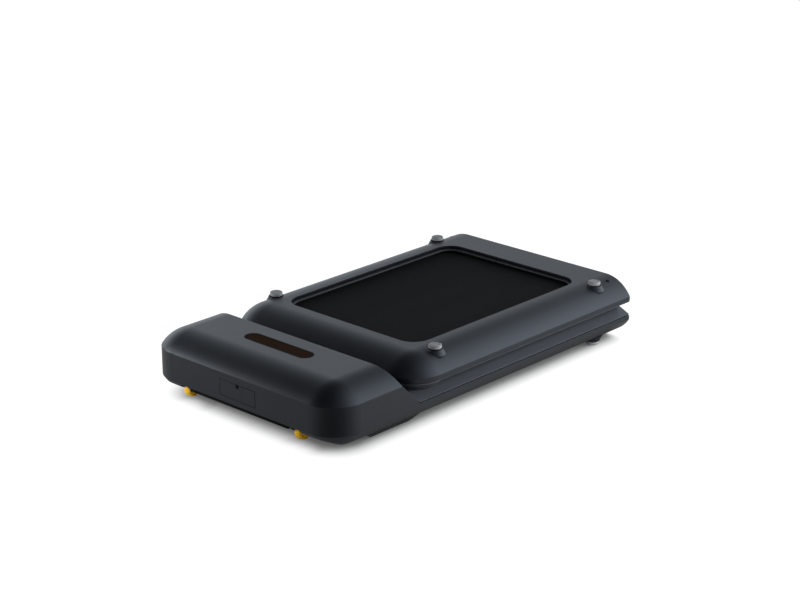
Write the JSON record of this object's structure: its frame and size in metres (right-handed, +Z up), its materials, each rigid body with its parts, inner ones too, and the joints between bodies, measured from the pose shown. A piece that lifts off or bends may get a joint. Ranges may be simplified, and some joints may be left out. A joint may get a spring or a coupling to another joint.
{
  "type": "folding walking pad",
  "caption": "Low folding walking pad, shown folded: rounded motor head with a display slot, belt deck hinged across its middle, rubber feet and small transport wheels.",
  "frame": {"origin": "centre of the folded pad's outline on the floor", "axes": "+X to the right seen from the head, +Y from the motor head to the fold, +Z up"},
  "size_m": [0.5, 0.871, 0.1344],
  "materials": {
    "casing": "satin",
    "cover": "satin",
    "panel": "matte",
    "rail": "satin",
    "lens": "gloss",
    "board": "matte",
    "motor": "satin",
    "steel": "satin",
    "frame_paint": "satin",
    "bearing": "polished",
    "pulley": "satin",
    "sink": "matte",
    "drive_rubber": "matte",
    "belt": "matte",
    "deck": "matte",
    "foot": "matte",
    "block": "matte",
    "wheel": "satin",
    "inlet": "satin"
  },
  "bodies": {
    "base": {"front_shell": "casing", "head_cover": "cover", "display_lens": "lens", "display_board": "board", "sensor_panel": "panel", "drive_motor": "motor", "motor_bracket": "frame_paint", "drive_belt": "drive_rubber", "front_shaft": "steel", "front_glide_bar": "steel", "front_cross": "frame_paint", "front_deck": "deck", "front_beam_left": "frame_paint", "front_beam_right": "frame_paint", "front_rail_left": "rail", "front_rail_right": "rail", "front_foot_left": "foot", "front_foot_right": "foot", "foot_block_left": "block", "foot_block_right": "block", "controller_board": "board", "heatsink": "sink", "power_inlet": "inlet", "wheel_axle_left": "steel", "wheel_axle_right": "steel", "front_hinge_left": "steel", "front_hinge_right": "steel", "belt_front": "belt", "belt_fold_top": "belt", "belt_fold_return": "belt"},
    "rear_half": {"rear_shell": "casing", "rear_beam_left": "frame_paint", "rear_beam_right": "frame_paint", "rear_cross": "frame_paint", "rear_glide_bar": "steel", "rear_deck": "deck", "rear_rail_left": "rail", "rear_rail_right": "rail", "tail_cap": "rail", "tail_bracket_left": "frame_paint", "tail_bracket_right": "frame_paint", "rear_foot_fold_left": "foot", "rear_foot_fold_right": "foot", "rear_foot_tail_left": "foot", "rear_foot_tail_right": "foot", "rear_shaft": "steel", "rear_hinge_left": "steel", "rear_hinge_right": "steel", "belt_rear": "belt"},
    "drive_roller": {"front_roller": "steel", "front_bearings": "bearing"},
    "pinion": {"motor_pulley": "pulley"},
    "front_guide": {"front_guide_roller": "steel"},
    "rocker": {"power_switch": "inlet"},
    "wheel_l": {"wheel_left": "wheel"},
    "wheel_r": {"wheel_right": "wheel"},
    "tail_roller": {"rear_roller": "steel", "rear_bearings": "bearing"},
    "rear_guide": {"rear_guide_roller": "steel"}
  },
  "joints": [
    {"name": "fold", "type": "hinge", "parent": "base", "child": "rear_half", "pos_m": [0, 0.4205, 0.0672], "axis": [-1, 0, 0], "range_deg": [0, 180], "deforming": ["belt_fold_top", "belt_fold_return"]},
    {"name": "drive_roller_spin", "type": "hinge", "parent": "base", "child": "drive_roller", "pos_m": [0, -0.3105, 0.0434], "axis": [1, 0, 0], "continuous": true},
    {"name": "pinion_spin", "type": "hinge", "parent": "base", "child": "pinion", "pos_m": [0.205, -0.37143, 0.0602], "axis": [1, 0, 0], "continuous": true},
    {"name": "front_guide_spin", "type": "hinge", "parent": "base", "child": "front_guide", "pos_m": [0, 0.3995, 0.0399], "axis": [1, 0, 0], "continuous": true},
    {"name": "tail_roller_spin", "type": "hinge", "parent": "rear_half", "child": "tail_roller", "pos_m": [0, -0.1845, 0.091], "axis": [1, 0, 0], "continuous": true},
    {"name": "rear_guide_spin", "type": "hinge", "parent": "rear_half", "child": "rear_guide", "pos_m": [0, 0.3995, 0.0945], "axis": [1, 0, 0], "continuous": true},
    {"name": "wheel_l_spin", "type": "hinge", "parent": "base", "child": "wheel_l", "pos_m": [-0.148, -0.4155, 0.0295], "axis": [1, 0, 0], "continuous": true},
    {"name": "wheel_r_spin", "type": "hinge", "parent": "base", "child": "wheel_r", "pos_m": [0.148, -0.4155, 0.0295], "axis": [1, 0, 0], "continuous": true},
    {"name": "power_rocker", "type": "hinge", "parent": "base", "child": "rocker", "pos_m": [-0.2406, -0.3035, 0.073], "axis": [0, 0, 1], "range_deg": [0, 8]}
  ],
  "couplings": [
    {"joint": "pinion_spin", "follows": "drive_roller_spin", "ratio": 2.5},
    {"joint": "tail_roller_spin", "follows": "drive_roller_spin", "ratio": 1},
    {"joint": "front_guide_spin", "follows": "drive_roller_spin", "ratio": -1.6015},
    {"joint": "rear_guide_spin", "follows": "drive_roller_spin", "ratio": -1.6015}
  ]
}
